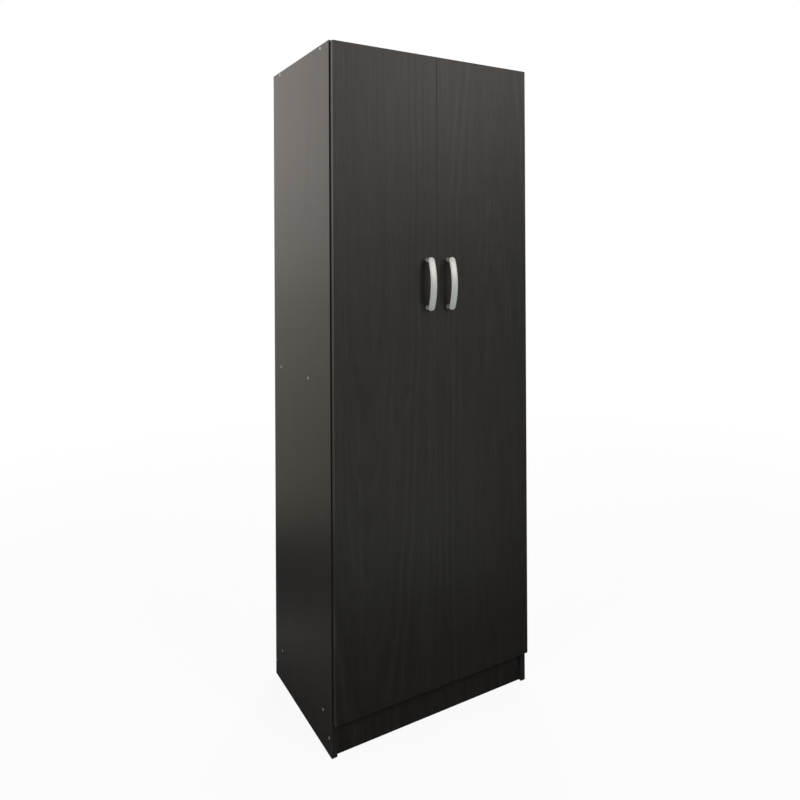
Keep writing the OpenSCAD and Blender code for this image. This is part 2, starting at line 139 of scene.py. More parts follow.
# %% [markdown]
# ## Wenge melamine
#
# Wenge is a very dark brown wood with fine, straight lines and now and then a tall arch where the saw
# met the growth rings. Here it is only printed, under a satin resin skin, so the surface is even and
# its gloss doesn't follow the wood. A photograph of wood would be one way, but a print made of nodes
# has no seams and stays sharp on any board. Four patterns are laid over each other, each stretched
# along the grain: broad drifts of tint, arches, streaks and pores. The real pores are 0.3 mm wide,
# too fine for a picture of the whole wardrobe, so here they are 2 mm wide.

# %% Sizes of the print
# Waves to a metre: across the board, along the grain and into the board
SWAY_WAVES = (7, 4, 7)
DRIFT_WAVES = (9, 1.3, 9)
STREAK_WAVES = (240, 4, 60)
PORE_WAVES = (480, 16, 120)
# How far the grain can sway, the distance between an arch's lines, and the factor on heights that
# pulls each arch long
SWAY, ARCH_SPACING, ARCH_PULL = 20 * MM, 10 * MM, 0.09


def stretched_noise(tree, place, waves, detail, roughness=0.5):
    """A noise with so many waves to a metre along each axis of a place."""
    stretched = add(tree, "Mapping", None, {"Vector": place, "Scale": waves})
    noise = add(tree, "TexNoise", None, {"Vector": stretched.outputs["Vector"], "Scale": 1.0,
                                         "Detail": detail, "Roughness": roughness})
    return noise.outputs["Fac"]


for what, waves in (("drifts", DRIFT_WAVES), ("streaks", STREAK_WAVES), ("pores", PORE_WAVES)):
    print(what, round(1 / waves[0] / MM, 1), "mm wide and", round(1 / waves[1] / MM), "mm long")

# %% Wenge melamine
def wenge_melamine(name, across, along, through, centre, arch=(0.0, 0.0)):
    """Melamine board with its grain along one axis. across, along and through name the axes X, Y or
    Z of the board's width, grain and thickness. centre is the middle of the print, in metres, and
    arch the place of the arches' focus from there, across and along."""
    material, tree = finish(name)
    where = add(tree, "TexCoord")
    moved = add(tree, "Mapping", {"vector_type": "POINT"},
                {"Vector": where.outputs["Object"], "Location": [-c for c in centre]})
    axes = add(tree, "SeparateXYZ", None, {"Vector": moved.outputs["Vector"]})
    straight = add(tree, "CombineXYZ", None,
                   {"X": axes.outputs[across], "Y": axes.outputs[along], "Z": axes.outputs[through]})

    # The grain sways by a few millimetres over a quarter of a metre of height
    sway = stretched_noise(tree, straight.outputs["Vector"], SWAY_WAVES, detail=1.0)
    swayed = add(tree, "Math", {"operation": "MULTIPLY_ADD"}, {0: sway, 1: SWAY, 2: axes.outputs[across]})
    grain = add(tree, "CombineXYZ", None,
                {"X": swayed.outputs["Value"], "Y": axes.outputs[along], "Z": axes.outputs[through]})

    drift = stretched_noise(tree, grain.outputs["Vector"], DRIFT_WAVES, detail=2.0)
    # Arches are rings round a focus, pulled long
    focus = add(tree, "Mapping", None, {"Vector": grain.outputs["Vector"],
                                        "Location": (-arch[0], -arch[1] * ARCH_PULL, 0),
                                        "Scale": (1, ARCH_PULL, 0.5)})
    reach = add(tree, "VectorMath", {"operation": "LENGTH"}, {0: focus.outputs["Vector"]})
    rings = add(tree, "Math", {"operation": "MULTIPLY"}, {0: reach.outputs["Value"], 1: 1 / ARCH_SPACING})
    arches = add(tree, "TexNoise", {"noise_dimensions": "1D"},
                 {"W": rings.outputs["Value"], "Scale": 1.0, "Detail": 2.0, "Roughness": 0.45})
    streaks = stretched_noise(tree, grain.outputs["Vector"], STREAK_WAVES, detail=3.0, roughness=0.6)
    pores = stretched_noise(tree, grain.outputs["Vector"], PORE_WAVES, detail=1.0)
    open_pores = add(tree, "MapRange", None, {"Value": pores, "From Min": 0.56, "From Max": 0.72,
                                              "To Min": 0.0, "To Max": 1.0})

    figure = add(tree, "Mix", {"data_type": "FLOAT"},
                 {"Factor": 0.36, 2: streaks, 3: arches.outputs["Fac"]})
    tinted = add(tree, "Mix", {"data_type": "FLOAT"},
                 {"Factor": 0.12, 2: figure.outputs[0], 3: drift})
    print_colour = add(tree, "ValToRGB", {"stops": [(0.34, "#211f1e"), (0.47, "#262423"),
                                                    (0.55, "#292725"), (0.68, "#32302d")]},
                       {"Fac": tinted.outputs[0]})
    inked = add(tree, "Mix", {"data_type": "RGBA", "blend_type": "MULTIPLY"},
                {"Factor": open_pores.outputs["Result"], 6: print_colour.outputs["Color"],
                 7: linear("#cfc8c4")})
    satin = add(tree, "MapRange", None, {"Value": tinted.outputs[0], "From Min": 0.3, "From Max": 0.7,
                                         "To Min": 0.34, "To Max": 0.30})
    relief = add(tree, "Bump", {"invert": True}, {"Strength": 0.1, "Distance": 0.08 * MM,
                                                  "Height": open_pores.outputs["Result"]})
    shader = add(tree, "BsdfPrincipled", None,
                 {"Base Color": inked.outputs[2], "Roughness": satin.outputs["Result"],
                  "Normal": relief.outputs["Normal"], "IOR": 1.5})
    add(tree, "OutputMaterial", None, {"Surface": shader.outputs["BSDF"]})
    return material


upright_left = wenge_melamine("wenge_melamine_left_door", "X", "Z", "Y", (-0.149, -0.209, 0.94),
                              arch=(-0.05, 0.55))
upright_right = wenge_melamine("wenge_melamine_right_door", "X", "Z", "Y", (0.149, -0.209, 1.31),
                               arch=(0.04, -0.75))
upright_sides = wenge_melamine("wenge_melamine_sides", "Y", "Z", "X", (0.0, 0.026, 0.9), arch=(0.4, 0.9))
lying_boards = wenge_melamine("wenge_melamine_lying_boards", "Y", "X", "Z", (0.4, 0.026, 0.9),
                              arch=(0.3, 0.2))
kickboards = wenge_melamine("wenge_melamine_kickboards", "X", "Z", "Y", (0.1, 0.0, 0.5), arch=(0.2, 0.3))
print("melamine prints:", [m.name for m in (upright_left, upright_right, upright_sides, lying_boards,
                                            kickboards)])

# %% [markdown]
# ## Working by selection
#
# In Blender an operator acts on whatever is selected, in the object that is active. So a few helpers
# open a piece with nothing selected, pick faces or edges by a test of their place, and close it
# again. The meshes of the frame are loose triangles, so a copy is merged into one skin before it is
# shaped, and a finished piece is tied to the frame node that it stands for.

# %% Helpers for modelling
def edit(piece):
    """Makes a piece the only selected one and opens it in edit mode, with nothing selected in it."""
    bpy.ops.object.select_all(action="DESELECT")
    piece.select_set(True)
    bpy.context.view_layer.objects.active = piece
    bpy.ops.object.mode_set(mode="EDIT")
    bpy.ops.mesh.select_all(action="DESELECT")


def select(piece, kind, test):
    """Selects the faces, edges or verts of a piece in edit mode that pass a test, and counts them."""
    mesh = bmesh.from_edit_mesh(piece.data)
    bpy.context.tool_settings.mesh_select_mode = (kind == "verts", kind == "edges", kind == "faces")
    chosen = [part for part in getattr(mesh, kind) if test(part)]
    for part in chosen:
        part.select_set(True)
    bmesh.update_edit_mesh(piece.data)
    return len(chosen)


def done():
    """Back to object mode, with nothing selected."""
    bpy.ops.object.mode_set(mode="OBJECT")
    bpy.ops.object.select_all(action="DESELECT")


def apply_modifier(piece, kind, **settings):
    """Adds a modifier to a piece, sets it and applies it at once."""
    modifier = piece.modifiers.new(kind.lower(), kind)
    for name, value in settings.items():
        setattr(modifier, name, value)
    bpy.context.view_layer.objects.active = piece
    bpy.ops.object.modifier_apply(modifier=modifier.name)


def merged_copy(node, name):
    """A copy of a frame node with its loose triangles merged into one skin."""
    piece = bpy.data.objects.new(name, frame["nodes"][node].data.copy())
    bpy.context.scene.collection.objects.link(piece)
    edit(piece)
    bpy.ops.mesh.select_all(action="SELECT")
    bpy.ops.mesh.customdata_custom_splitnormals_clear()
    bpy.ops.mesh.remove_doubles(threshold=0.01 * MM)
    bpy.ops.mesh.dissolve_limited(angle_limit=math.radians(0.5))
    done()
    return piece


def smooth(piece, degrees=32):
    """Shades a piece smooth where its faces meet at less than this angle. Large faces keep their own
    direction, so that a narrow round beside a flat doesn't bend the light on the whole flat."""
    bpy.ops.object.select_all(action="DESELECT")
    piece.select_set(True)
    bpy.context.view_layer.objects.active = piece
    bpy.ops.object.shade_smooth_by_angle(angle=math.radians(degrees))
    apply_modifier(piece, "WEIGHTED_NORMAL", mode="FACE_AREA", weight=100, keep_sharp=True)
    piece.select_set(False)


def stand_in(piece, node):
    """A finished piece takes a frame node's place: its body, and the right to be shown."""
    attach(piece, body_of[node])
    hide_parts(node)


print("modelling helpers are ready")

# %% [markdown]
# ## The scraped edge
#
# The edge band is a strip of plastic, glued on and then scraped round along its corners. The scraped
# plastic has lost its print: it is a shade paler and duller, with fine ripples from the cutter. It
# could be painted on with a mask, but a second material on the narrow round faces is simpler and
# stays exactly on the edge.

# %% The scraped edge of the band
scraped_band, tree = finish("scraped_edge_band")
where = add(tree, "TexCoord")
# The cutter leaves ripples a few millimetres long
ripples = add(tree, "TexNoise", None, {"Vector": where.outputs["Object"], "Scale": 1 / (3 * MM),
                                       "Detail": 2.0})
pale = add(tree, "ValToRGB", {"stops": [(0.35, "#403c39"), (0.65, "#4c4743")]},
           {"Fac": ripples.outputs["Fac"]})
relief = add(tree, "Bump", None, {"Strength": 0.1, "Distance": 0.05 * MM,
                                  "Height": ripples.outputs["Fac"]})
shader = add(tree, "BsdfPrincipled", None,
             {"Base Color": pale.outputs["Color"], "Roughness": 0.45, "IOR": 1.5,
              "Normal": relief.outputs["Normal"]})
add(tree, "OutputMaterial", None, {"Surface": shader.outputs["BSDF"]})
print("edge finish:", scraped_band.name)

# %% [markdown]
# ## Boards with eased edges
#
# No real board has a knife edge, and the round of about half a millimetre catches a fine line of
# light along every side. The boards of the frame have the right holes and bores, so each is copied
# and only its outer edges are bevelled. A bevel modifier would round the bores too, so the edges are
# picked first: the ones that lie on two sides of the board's box.

# %% Boards with eased edges
EASED = 0.45 * MM

boards = {
    "left_side_panel": upright_sides, "right_side_panel": upright_sides, "top_panel": lying_boards,
    "bottom_panel": lying_boards, "middle_shelf": lying_boards, "front_kickboard": kickboards,
    "rear_kickboard": kickboards, "left_door": upright_left, "right_door": upright_right,
}


def eased_board(node, material):
    """A board of the frame with its outer edges rounded, in the frame board's place."""
    low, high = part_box(node)
    board = merged_copy(node, node + "_board")

    def sides_met(edge):
        return sum(all(abs(v.co[axis] - end[axis]) < 0.01 * MM for v in edge.verts)
                   for axis in range(3) for end in (low, high))

    edit(board)
    count = select(board, "edges", lambda edge: sides_met(edge) == 2)
    bpy.ops.mesh.bevel(offset=EASED, offset_type="OFFSET", segments=3, profile=0.5, affect="EDGES")
    done()
    # A bevel can push a corner point out by a hair, so each point is kept within the board
    for vert in board.data.vertices:
        vert.co = [min(max(c, a), b) for c, a, b in zip(vert.co, low, high)]
    smooth(board)
    wear(board, material)
    board.data.materials.append(scraped_band)
    for face in board.data.polygons:
        ends = [min(c - a, b - c) < EASED for c, a, b in zip(face.center, low, high)]
        face.material_index = 1 if sum(ends) >= 2 else 0
    stand_in(board, node)
    return board, count


for node, material in boards.items():
    board, count = eased_board(node, material)
    print(node, "edges eased:", count, "faces:", len(board.data.polygons))

# %% [markdown]
# ## Silver lacquer
#
# The handles are cast from zinc and sprayed with a silver lacquer. Its flakes lie flat but not quite
# even, so it is paler and duller than bare metal: part mirror, part paint. A real flake is far too
# small to draw, so a fine noise only makes the roughness and the tint waver a little, and a second,
# coarser one gives the soft orange peel of a sprayed coat.

# %% Silver lacquer
silver_lacquer, tree = finish("silver_lacquer_on_cast_zinc")
where = add(tree, "TexCoord")
flakes = add(tree, "TexNoise", None, {"Vector": where.outputs["Object"], "Scale": 1 / (1.5 * MM),
                                      "Detail": 2.0})
tint = add(tree, "ValToRGB", {"stops": [(0.35, "#d6d8d5"), (0.65, "#e0e2de")]},
           {"Fac": flakes.outputs["Fac"]})
dull = add(tree, "MapRange", None, {"Value": flakes.outputs["Fac"], "From Min": 0.3, "From Max": 0.7,
                                    "To Min": 0.40, "To Max": 0.46})
peel = add(tree, "TexNoise", None, {"Vector": where.outputs["Object"], "Scale": 1 / (3 * MM),
                                    "Detail": 1.0})
relief = add(tree, "Bump", None, {"Strength": 0.15, "Distance": 0.05 * MM, "Height": peel.outputs["Fac"]})
shader = add(tree, "BsdfPrincipled", None,
             {"Base Color": tint.outputs["Color"], "Metallic": 0.6, "Roughness": dull.outputs["Result"],
              "Normal": relief.outputs["Normal"]})
add(tree, "OutputMaterial", None, {"Surface": shader.outputs["BSDF"]})
print("handle finish:", silver_lacquer.name)

# %% [markdown]
# ## The bow handles
#
# Each handle is a flat bar, bent to an arc, with round ends and two short posts. It could be a curve
# with a profile, but here it is made as by hand: the bar's cross-section is a plane that is spun
# about the middle of the arc. That gives the bend first, and all that follows is worked on it.

# %% The bow: a section, spun
BAR_WIDTH, BAR_THICK = 19 * MM, 5 * MM
ARC_RADIUS = 165.33 * MM
arc_middle = Vector((-32 * MM, -87.65 * MM, 1182 * MM))
HALF_SPACING = 64 * MM
HALF_ARC_HEIGHT = 62.5 * MM
half_arc = math.asin(HALF_ARC_HEIGHT / ARC_RADIUS)

start = arc_middle + ARC_RADIUS * Vector((0, -math.cos(half_arc), -math.sin(half_arc)))
bpy.ops.object.select_all(action="DESELECT")
bpy.ops.mesh.primitive_plane_add(size=1, location=start, rotation=(half_arc, 0, 0))
bow = bpy.context.object
bow.name = "left_bow_handle"
bow.scale = (BAR_WIDTH, BAR_THICK, 1)
bpy.ops.object.transform_apply(location=True, rotation=True, scale=True)
edit(bow)
bpy.ops.mesh.select_all(action="SELECT")
bpy.ops.mesh.spin(steps=28, angle=2 * half_arc, center=arc_middle, axis=(1, 0, 0))
bpy.ops.mesh.select_all(action="SELECT")
bpy.ops.mesh.remove_doubles(threshold=0.01 * MM)
bpy.ops.mesh.normals_make_consistent(inside=False)
done()
print("the bow reaches from z", min(v.co.z for v in bow.data.vertices), "to",
      max(v.co.z for v in bow.data.vertices))

# %% [markdown]
# The ends of a cast bar are round in plan. They are pulled out straight, and a wide bevel of their
# corners turns each into a half circle. A smaller bevel then rounds every long edge, and the face is
# inset twice and sunk a little, which leaves the raised rim that frames it.

# %% The round ends and the rim
END_LENGTH = 9.6 * MM
END_CORNER = 9.0 * MM
# Only edges of the very ends lie farther than this from the middle
ENDS_BEYOND = 69 * MM
RIM_ROUND = 2.3 * MM
RIM_WIDTH, RIM_SLOPE, FACE_SUNK = 0.7 * MM, 0.8 * MM, 0.7 * MM

edit(bow)
for end in (-1, 1):
    along = Vector((0, math.sin(half_arc), end * math.cos(half_arc)))
    bpy.ops.mesh.select_all(action="DESELECT")
    select(bow, "faces", lambda face: face.normal.dot(along) > 0.99)
    bpy.ops.mesh.extrude_region_move(TRANSFORM_OT_translate={"value": along * END_LENGTH})
bpy.ops.mesh.select_all(action="DESELECT")
corners = select(bow, "edges", lambda edge: abs(edge.verts[0].co.z + edge.verts[1].co.z - 2 * arc_middle.z)
                 > 2 * ENDS_BEYOND and abs(edge.verts[0].co.x - edge.verts[1].co.x) < 0.1 * MM)
bpy.ops.mesh.bevel(offset=END_CORNER, offset_type="OFFSET", segments=8, profile=0.5, affect="EDGES")
bpy.ops.mesh.select_all(action="DESELECT")
rim = select(bow, "edges", lambda edge: len(edge.link_faces) == 2
             and edge.calc_face_angle() > math.radians(60))
bpy.ops.mesh.bevel(offset=RIM_ROUND, offset_type="OFFSET", segments=5, profile=0.5, affect="EDGES")
done()


def outward(face):
    """How squarely a face of the bow looks away from the middle of its arc."""
    spoke = face.calc_center_median() - arc_middle
    spoke.x = 0
    return face.normal.dot(spoke.normalized())


edit(bow)
face_count = select(bow, "faces", lambda face: outward(face) > 0.995)
bpy.ops.mesh.inset(thickness=RIM_WIDTH, depth=0)
bpy.ops.mesh.inset(thickness=RIM_SLOPE, depth=0)
bpy.ops.transform.shrink_fatten(value=-FACE_SUNK)
done()
print("end corners:", corners, "rim edges:", rim, "front faces:", face_count)

# %% [markdown]
# The bow stands on two short round posts that widen where they meet it, as cast ones do, and in
# front of each a fine ring marks the face. The ring is cut with a thin torus and the posts are
# joined with a boolean, so bow and posts are one casting. The second handle is a copy.

# %% The rings and the posts
POST_RADIUS, POST_FLARE, FLARE_LENGTH = 6 * MM, 1.18, 5 * MM
RING_RADIUS, RING_WIDTH = 4.8 * MM, 0.8 * MM
DOOR_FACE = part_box("left_door")[0].y


def post_height(half_length):
    """Y of the middle of the bar at a distance from the middle of the bow."""
    return arc_middle.y - math.sqrt(ARC_RADIUS ** 2 - half_length ** 2)


tilt = math.asin(HALF_SPACING / ARC_RADIUS)
for side in (-1, 1):
    z = arc_middle.z + side * HALF_SPACING
    spoke = Vector((0, -math.cos(tilt), side * math.sin(tilt)))
    bpy.ops.mesh.primitive_torus_add(major_radius=RING_RADIUS, minor_radius=RING_WIDTH,
                                     major_segments=32, minor_segments=8)
    ring = bpy.context.object
    ring.rotation_euler = spoke.to_track_quat("Z", "X").to_euler()
    ring.location = arc_middle + spoke * (ARC_RADIUS + BAR_THICK / 2 - FACE_SUNK)
    bpy.context.view_layer.update()
    apply_modifier(bow, "BOOLEAN", object=ring, operation="DIFFERENCE", solver="EXACT")
    bpy.data.objects.remove(ring)

    inner = post_height(HALF_SPACING) + 1.2 * MM
    bpy.ops.object.select_all(action="DESELECT")
    bpy.ops.mesh.primitive_cylinder_add(vertices=32, radius=POST_RADIUS, depth=DOOR_FACE - inner,
                                        location=(arc_middle.x, (DOOR_FACE + inner) / 2, z),
                                        rotation=(math.pi / 2, 0, 0))
    post = bpy.context.object
    bpy.ops.object.transform_apply(location=True, rotation=True, scale=True)
    edit(post)
    bpy.ops.mesh.select_all(action="SELECT")
    bpy.ops.mesh.bisect(plane_co=(0, inner + FLARE_LENGTH, 0), plane_no=(0, 1, 0))
    bpy.ops.mesh.select_all(action="DESELECT")
    select(post, "verts", lambda vert: vert.co.y < inner + 0.1 * MM)
    bpy.ops.transform.resize(value=(POST_FLARE, 1, POST_FLARE), center_override=(arc_middle.x, inner, z))
    bpy.ops.mesh.select_all(action="DESELECT")
    select(post, "edges", lambda edge: all(abs(v.co.y - inner - FLARE_LENGTH) < 0.1 * MM
                                           for v in edge.verts))
    bpy.ops.mesh.bevel(offset=1.8 * MM, offset_type="OFFSET", segments=3, affect="EDGES")
    bpy.ops.mesh.select_all(action="DESELECT")
    select(post, "edges", lambda edge: all(v.co.y > DOOR_FACE - 0.1 * MM for v in edge.verts))
    bpy.ops.mesh.bevel(offset=0.5 * MM, offset_type="OFFSET", segments=2, affect="EDGES")
    done()
    apply_modifier(bow, "BOOLEAN", object=post, operation="UNION", solver="EXACT")
    bpy.data.objects.remove(post)

smooth(bow, 35)
wear(bow, silver_lacquer)
other_bow = bow.copy()
other_bow.data = bow.data.copy()
other_bow.name = "right_bow_handle"
bpy.context.scene.collection.objects.link(other_bow)
other_bow.data.transform(Matrix.Translation((-2 * arc_middle.x, 0, 0)))
stand_in(bow, "left_handle")
stand_in(other_bow, "right_handle")
print("handle faces:", len(bow.data.polygons))

# %% [markdown]
# ## Zinc, nickel and chrome
#
# The screws and nails are plated with bright zinc, the hinges with nickel and the rail with chrome.
# They differ in tint and sharpness: zinc is bluish and clouded by the thin clear film that keeps it
# from tarnishing, so it is only partly metallic. Nickel is warmer, with the fine lines of the press
# it was stamped on, and chrome is nearly a mirror with faint lines along the drawn tube.

# %% Plated metals
def plated_metal(name, dark, light, rough, cloud, stretch=(1, 1, 1), bare=1.0):
    """A plated metal. rough is its least and greatest roughness, cloud the size of its clouds or
    lines in metres, stretch how much finer these are along X, Y and Z, and bare how much of it is
    bare metal."""
    material, tree = finish(name)
    where = add(tree, "TexCoord")
    clouds = stretched_noise(tree, where.outputs["Object"], [s / cloud for s in stretch], detail=3.0,
                             roughness=0.55)
    tint = add(tree, "ValToRGB", {"stops": [(0.35, dark), (0.65, light)]}, {"Fac": clouds})
    gloss = add(tree, "MapRange", None, {"Value": clouds, "From Min": 0.3, "From Max": 0.7,
                                         "To Min": rough[0], "To Max": rough[1]})
    relief = add(tree, "Bump", None, {"Strength": 0.08, "Distance": 0.02 * MM, "Height": clouds})
    shader = add(tree, "BsdfPrincipled", None,
                 {"Base Color": tint.outputs["Color"], "Metallic": bare,
                  "Roughness": gloss.outputs["Result"], "Normal": relief.outputs["Normal"]})
    add(tree, "OutputMaterial", None, {"Surface": shader.outputs["BSDF"]})
    return material


zinc = plated_metal("bright_zinc_plated_steel", "#d0d3d5", "#e4e6e8", (0.20, 0.32), 4 * MM,
                    bare=0.6)
nickel = plated_metal("nickel_plated_pressed_steel", "#c4c0b8", "#d6d3cc", (0.20, 0.30), 2 * MM,
                      stretch=(1, 0.12, 1))
chrome = plated_metal("chromed_drawn_tube", "#dcdee1", "#e9eaec", (0.06, 0.12), 1.5 * MM,
                      stretch=(0.02, 1, 1))
print("metals:", zinc.name, nickel.name, chrome.name)

# %% [markdown]
# ## Screws with a cross recess
#
# Every screw of such a kit is driven with a cross-head screwdriver. The frame has them as plain
# stepped rods. Their heads get a rounded rim and a tapered cross, cut with a boolean, because that
# is how the real recess is made: a punch of this shape is pressed into the head.

# %% A punch for the cross recess
def cross_punch(width, depth):
    """A tapered cross that points down -Z, with its top a little above the origin."""
    arms = []
    above = 0.3 * MM
    for turn in (0, math.pi / 2):
        bpy.ops.object.select_all(action="DESELECT")
        bpy.ops.mesh.primitive_cube_add(size=1, location=(0, 0, (above - depth) / 2),
                                        scale=(width, 0.24 * width, above + depth))
        arm = bpy.context.object
        bpy.ops.object.transform_apply(location=True, rotation=True, scale=True)
        edit(arm)
        select(arm, "verts", lambda vert: vert.co.z < 0)
        bpy.ops.transform.resize(value=(0.35, 0.6, 1), center_override=(0, 0, -depth))
        done()
        arm.data.transform(Matrix.Rotation(turn, 4, "Z"))
        arms.append(arm)
    apply_modifier(arms[0], "BOOLEAN", object=arms[1], operation="UNION", solver="EXACT")
    bpy.data.objects.remove(arms[1])
    return arms[0]


def recessed_screws(node, head_diameter, rim, recess):
    """The screws of a frame node with rounded heads and a cross recess in each."""
    screws = merged_copy(node, node + "_crossed")
    head_area = 0.97 * math.pi * (head_diameter / 2) ** 2
    heads = [(face.center.copy(), face.normal.copy()) for face in screws.data.polygons
             if face.area > head_area]
    edit(screws)
    select(screws, "faces", lambda face: face.calc_area() > head_area)
    bpy.ops.mesh.region_to_loop()
    bpy.ops.mesh.bevel(offset=rim, offset_type="OFFSET", segments=3, profile=0.5, affect="EDGES")
    done()
    punch = cross_punch(recess, 0.45 * recess)
    for number, (place, out) in enumerate(heads):
        # Each screw stopped at another angle when it was tight
        turned = Matrix.Rotation(math.radians(37 * number + 11), 4, "Z")
        aim = out.to_track_quat("Z", "X").to_matrix().to_4x4()
        punch.matrix_world = Matrix.Translation(place) @ aim @ turned
        bpy.context.view_layer.update()
        apply_modifier(screws, "BOOLEAN", object=punch, operation="DIFFERENCE", solver="EXACT")
    bpy.data.objects.remove(punch)
    smooth(screws, 35)
    wear(screws, zinc)
    stand_in(screws, node)
    return len(heads)


print("the punch is ready")

# %% Screws
# Head diameter, round of its rim and width of the cross. Hinges and rail have the same small screws
SMALL_SCREW = (6.5 * MM, 0.6 * MM, 3.6 * MM)
SCREW_SIZES = {
    "carcass_screws": (8 * MM, 0.4 * MM, 3.2 * MM),
    "handle_screws": (8 * MM, 1.2 * MM, 4.2 * MM),
    "hinge_plate_screws": SMALL_SCREW,
    "hinge_cup_screws": SMALL_SCREW,
}
for side in ("left", "right"):
    for kind, sizes in SCREW_SIZES.items():
        print(side, kind, recessed_screws(side + "_" + kind, *sizes))
print("rail_socket_screws", recessed_screws("rail_socket_screws", *SMALL_SCREW))

# %% [markdown]
# ## Plastics
#
# The rail's sockets and the strip on the back are moulded from brown polypropylene. Its mould is
# etched, so the part is evenly dull and fingerprints don't show. The bumpers are drops of clear
# silicone, slightly milky. Both are one colour with a hint of unevenness, which a fine noise gives.

# %% Plastics
moulded_plastic, tree = finish("moulded_brown_polypropylene")
where = add(tree, "TexCoord")
# The mould is etched with a fine grain of about 0.6 mm
etched = add(tree, "TexNoise", None, {"Vector": where.outputs["Object"], "Scale": 1 / (0.6 * MM),
                                      "Detail": 2.0})
shade = add(tree, "ValToRGB", {"stops": [(0.3, "#2a2523"), (0.7, "#322d2a")]},
            {"Fac": etched.outputs["Fac"]})
relief = add(tree, "Bump", None, {"Strength": 0.2, "Distance": 0.03 * MM,
                                  "Height": etched.outputs["Fac"]})
shader = add(tree, "BsdfPrincipled", None,
             {"Base Color": shade.outputs["Color"], "Roughness": 0.5, "IOR": 1.49,
              "Normal": relief.outputs["Normal"]})
add(tree, "OutputMaterial", None, {"Surface": shader.outputs["BSDF"]})

silicone, tree = finish("translucent_silicone")
where = add(tree, "TexCoord")
milk = add(tree, "TexNoise", None, {"Vector": where.outputs["Object"], "Scale": 1 / (2 * MM)})
shade = add(tree, "ValToRGB", {"stops": [(0.3, "#dcdcd6"), (0.7, "#e8e8e3")]}, {"Fac": milk.outputs["Fac"]})
shader = add(tree, "BsdfPrincipled", None,
             {"Base Color": shade.outputs["Color"], "Roughness": 0.35, "IOR": 1.41,
              "Transmission Weight": 0.4})
add(tree, "OutputMaterial", None, {"Surface": shader.outputs["BSDF"]})
print("plastics:", moulded_plastic.name, silicone.name)

# %% [markdown]
# ## Hinges, rail and other fittings
#
# The cups, arms and plates of the hinges are pressed from sheet steel, so all their edges are a
# little round. The rail, its sockets, the strip on the back, the nails and the soft bumpers have
# round edges as well. One helper does them all: it copies a frame node, merges it, and bevels each
# sharp edge by the same small width.

# %% Softened fittings
def softened(node, material, width, segments=2):
    """A frame node with every sharp edge bevelled, in the node's place."""
    piece = merged_copy(node, node + "_eased")
    apply_modifier(piece, "BEVEL", width=width, segments=segments, limit_method="ANGLE",
                   angle_limit=math.radians(40), use_clamp_overlap=True)
    smooth(piece)
    wear(piece, material)
    stand_in(piece, node)
    return len(piece.data.polygons)


for side in ("left", "right"):
    for number in (1, 2, 3):
        print(side, "hinge", number, [softened(f"{side}_hinge_{part}_{number}", nickel, 0.25 * MM)
                                      for part in ("arm", "plate", "cup")])
        wear(frame["nodes"][f"{side}_hinge_pin_{number}"], zinc)
    print(side, "rail socket", softened(side + "_rail_socket", moulded_plastic, 0.4 * MM))
print("rail", softened("clothes_rail", chrome, 0.3 * MM))
print("joint strip", softened("back_joint_strip", moulded_plastic, 0.2 * MM))
print("nails", softened("back_nails", zinc, 0.25 * MM))
print("bumpers", softened("door_bumpers", silicone, 1.0 * MM, segments=4))

# %% [markdown]
# ## The hardboard back
#
# The back is two sheets of hardboard: wood fibre cooked and pressed under heat, smooth and brown on
# the outside. The side that faces into the wardrobe is lacquered with the dark tone of the boards.
# The sheets have the right shape already, so they only get their finish. Which side is which is read
# from Y, because the sheets stand square to it.

# %% Hardboard
hardboard, tree = finish("hardboard_lacquered_inside")
where = add(tree, "TexCoord")
# Fibre bundles, 1.5 mm wide and 5 mm long
lying = add(tree, "Mapping", None, {"Vector": where.outputs["Object"], "Scale": (1, 1, 0.35)})
fibres = add(tree, "TexNoise", None, {"Vector": lying.outputs["Vector"], "Scale": 1 / (3 * MM),
                                      "Detail": 4.0, "Roughness": 0.65})
stains = add(tree, "TexNoise", None, {"Vector": where.outputs["Object"], "Scale": 1 / (90 * MM),
                                      "Detail": 2.0})
mottled = add(tree, "Mix", {"data_type": "FLOAT"},
              {"Factor": 0.35, 2: fibres.outputs["Fac"], 3: stains.outputs["Fac"]})
brown = add(tree, "ValToRGB", {"stops": [(0.32, "#7a5a3f"), (0.5, "#93714f"), (0.68, "#a98560")]},
            {"Fac": mottled.outputs[0]})
lacquer = add(tree, "ValToRGB", {"stops": [(0.3, "#262220"), (0.7, "#322d2a")]},
              {"Fac": mottled.outputs[0]})
depth = add(tree, "SeparateXYZ", None, {"Vector": where.outputs["Object"]})
middle = (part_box("upper_back")[0].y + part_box("upper_back")[1].y) / 2
outside = add(tree, "Math", {"operation": "GREATER_THAN"}, {0: depth.outputs["Y"], 1: middle})
colour = add(tree, "Mix", {"data_type": "RGBA"},
             {"Factor": outside.outputs["Value"], 6: lacquer.outputs["Color"], 7: brown.outputs["Color"]})
sheen = add(tree, "MapRange", None, {"Value": outside.outputs["Value"], "To Min": 0.45, "To Max": 0.62})
relief = add(tree, "Bump", None, {"Strength": 0.25, "Distance": 0.05 * MM,
                                  "Height": fibres.outputs["Fac"]})
shader = add(tree, "BsdfPrincipled", None,
             {"Base Color": colour.outputs[2], "Roughness": sheen.outputs["Result"], "IOR": 1.5,
              "Normal": relief.outputs["Normal"]})
add(tree, "OutputMaterial", None, {"Surface": shader.outputs["BSDF"]})
for sheet in ("upper_back", "lower_back"):
    wear(frame["nodes"][sheet], hardboard)
print("the lacquered side ends at y =", round(middle, 4))

# %% [markdown]
# ## The floor
#
# The wardrobe stands on a plain pale floor in front of a white background, in soft studio light.
# The camera sees floor and background as white whatever light falls on them, through the Light Path
# node, so no extra light has to be poured on the dark boards. Near the wardrobe a little of the real
# paint shows through, which keeps the shadow.

# %% Floor
FLOOR_WIDTH = 60

